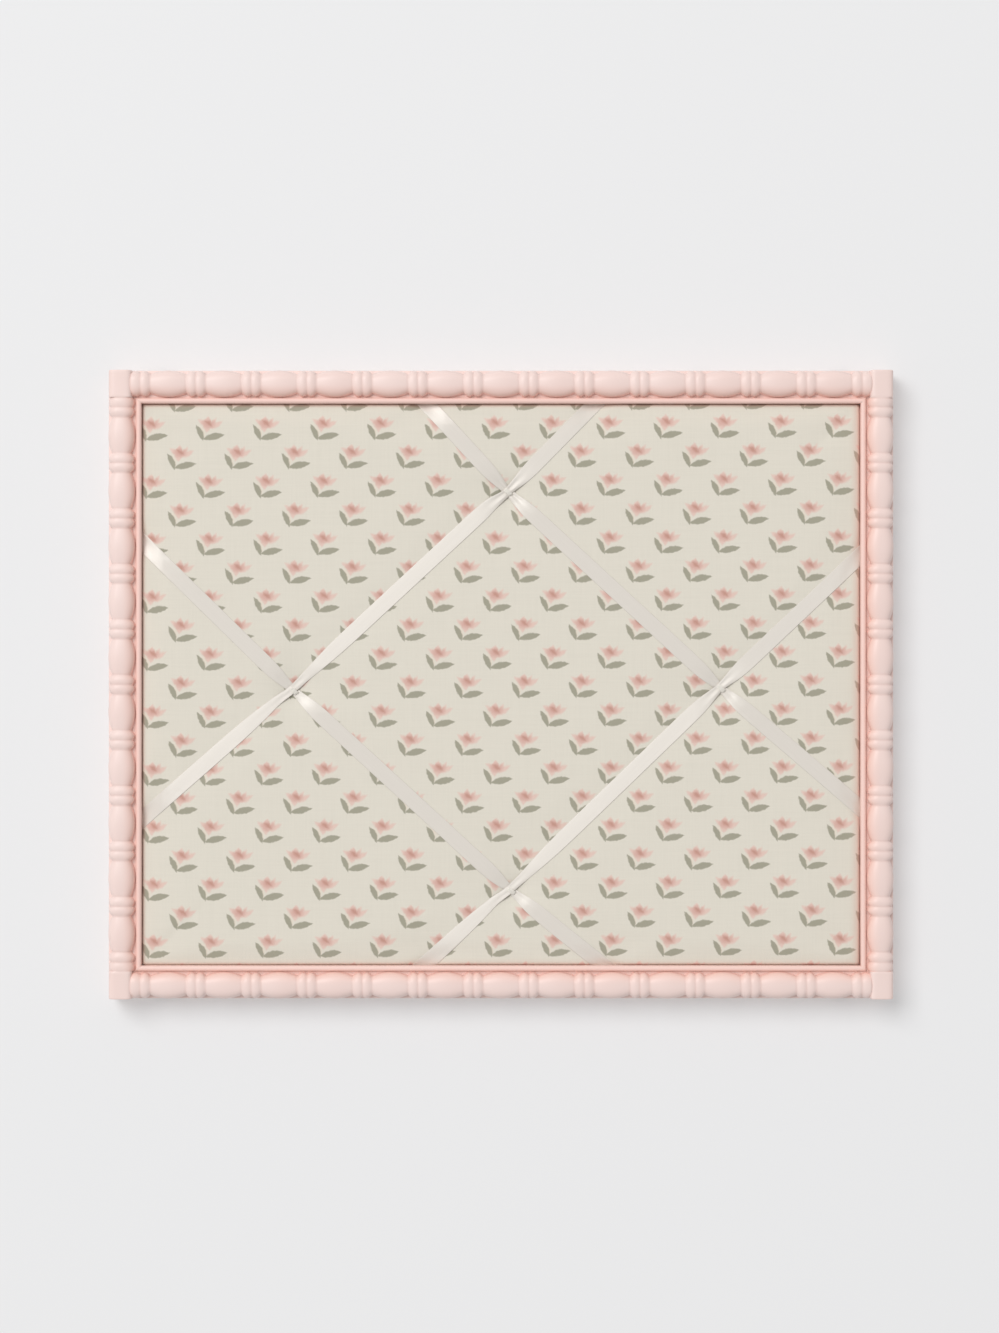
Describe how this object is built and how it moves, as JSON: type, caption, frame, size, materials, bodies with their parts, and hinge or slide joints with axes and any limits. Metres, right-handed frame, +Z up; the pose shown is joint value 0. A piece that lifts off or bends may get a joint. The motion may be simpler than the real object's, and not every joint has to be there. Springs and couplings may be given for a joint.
{
  "type": "french memo board",
  "caption": "Wall-hung padded memo board: a turned bobbin frame around a cloth-covered panel laced with satin ribbons, with a back cover on turn buttons and hanger loops.",
  "frame": {"origin": "on the wall plane, behind the middle of the board", "axes": "+X to the right as seen from the front, +Y from the front towards the wall, +Z up"},
  "size_m": [0.508, 0.0274, 0.4064],
  "materials": {
    "pink_paint": "satin pink paint on wood",
    "hardboard": "smooth brown hardboard",
    "batting": "white polyester batting",
    "printed_cotton": "plain-weave cotton with a small sprig print",
    "satin_ribbon": "off-white satin",
    "thread": "off-white sewing thread",
    "zinc_steel": "bright zinc plating",
    "rubber": "dark matt rubber"
  },
  "bodies": {
    "board": {"base_bottom": "pink_paint", "base_left": "pink_paint", "base_top": "pink_paint", "base_right": "pink_paint", "turning_bottom_rail": "pink_paint", "turning_left_stile": "pink_paint", "turning_top_rail": "pink_paint", "turning_right_stile": "pink_paint", "corner_nail_bottom": "zinc_steel", "corner_nail_left": "zinc_steel", "corner_nail_top": "zinc_steel", "corner_nail_right": "zinc_steel", "panel_board": "hardboard", "padding": "batting", "fabric_cover": "printed_cotton", "back_cover": "hardboard", "ribbon_left_to_top": "satin_ribbon", "ribbon_bottom_to_right": "satin_ribbon", "ribbon_top_to_right": "satin_ribbon", "ribbon_left_to_bottom": "satin_ribbon", "tie_stitch_top": "thread", "tie_stitch_left": "thread", "tie_stitch_right": "thread", "tie_stitch_bottom": "thread", "staple_ribbon_left_to_top_left": "zinc_steel", "staple_ribbon_left_to_top_top": "zinc_steel", "staple_ribbon_bottom_to_right_bottom": "zinc_steel", "staple_ribbon_bottom_to_right_right": "zinc_steel", "staple_ribbon_top_to_right_top": "zinc_steel", "staple_ribbon_top_to_right_right": "zinc_steel", "staple_ribbon_left_to_bottom_left": "zinc_steel", "staple_ribbon_left_to_bottom_bottom": "zinc_steel", "turn_button_screw_bottom_1": "zinc_steel", "turn_button_screw_bottom_2": "zinc_steel", "turn_button_screw_top_1": "zinc_steel", "turn_button_screw_top_2": "zinc_steel", "turn_button_screw_left": "zinc_steel", "turn_button_screw_right": "zinc_steel", "hanger_strap_left": "zinc_steel", "hanger_strap_right": "zinc_steel", "hanger_screw_left": "zinc_steel", "hanger_screw_right": "zinc_steel", "bumper_bottom_1": "rubber", "bumper_bottom_2": "rubber", "bumper_top_1": "rubber", "bumper_top_2": "rubber"},
    "loop_left": {"hanger_loop_left": "zinc_steel"},
    "loop_right": {"hanger_loop_right": "zinc_steel"},
    "button_bottom_1": {"turn_button_bottom_1": "zinc_steel"},
    "button_bottom_2": {"turn_button_bottom_2": "zinc_steel"},
    "button_top_1": {"turn_button_top_1": "zinc_steel"},
    "button_top_2": {"turn_button_top_2": "zinc_steel"},
    "button_left": {"turn_button_left": "zinc_steel"},
    "button_right": {"turn_button_right": "zinc_steel"}
  },
  "joints": [
    {"name": "loop_left_swing", "type": "hinge", "parent": "board", "child": "loop_left", "pos_m": [-0.2402, -0.00315, 0.095], "axis": [0, 0, 1], "range_deg": [-3, 170]},
    {"name": "loop_right_swing", "type": "hinge", "parent": "board", "child": "loop_right", "pos_m": [0.2402, -0.00315, 0.095], "axis": [0, 0, -1], "range_deg": [-3, 170]},
    {"name": "button_bottom_1_turn", "type": "hinge", "parent": "board", "child": "button_bottom_1", "pos_m": [-0.13, -0.0043, -0.1952], "axis": [0, 1, 0], "continuous": true},
    {"name": "button_bottom_2_turn", "type": "hinge", "parent": "board", "child": "button_bottom_2", "pos_m": [0.13, -0.0043, -0.1952], "axis": [0, 1, 0], "continuous": true},
    {"name": "button_top_1_turn", "type": "hinge", "parent": "board", "child": "button_top_1", "pos_m": [0.13, -0.0043, 0.1952], "axis": [0, 1, 0], "continuous": true},
    {"name": "button_top_2_turn", "type": "hinge", "parent": "board", "child": "button_top_2", "pos_m": [-0.13, -0.0043, 0.1952], "axis": [0, 1, 0], "continuous": true},
    {"name": "button_left_turn", "type": "hinge", "parent": "board", "child": "button_left", "pos_m": [-0.246, -0.0043, 0], "axis": [0, 1, 0], "continuous": true},
    {"name": "button_right_turn", "type": "hinge", "parent": "board", "child": "button_right", "pos_m": [0.246, -0.0043, 0], "axis": [0, 1, 0], "continuous": true}
  ]
}
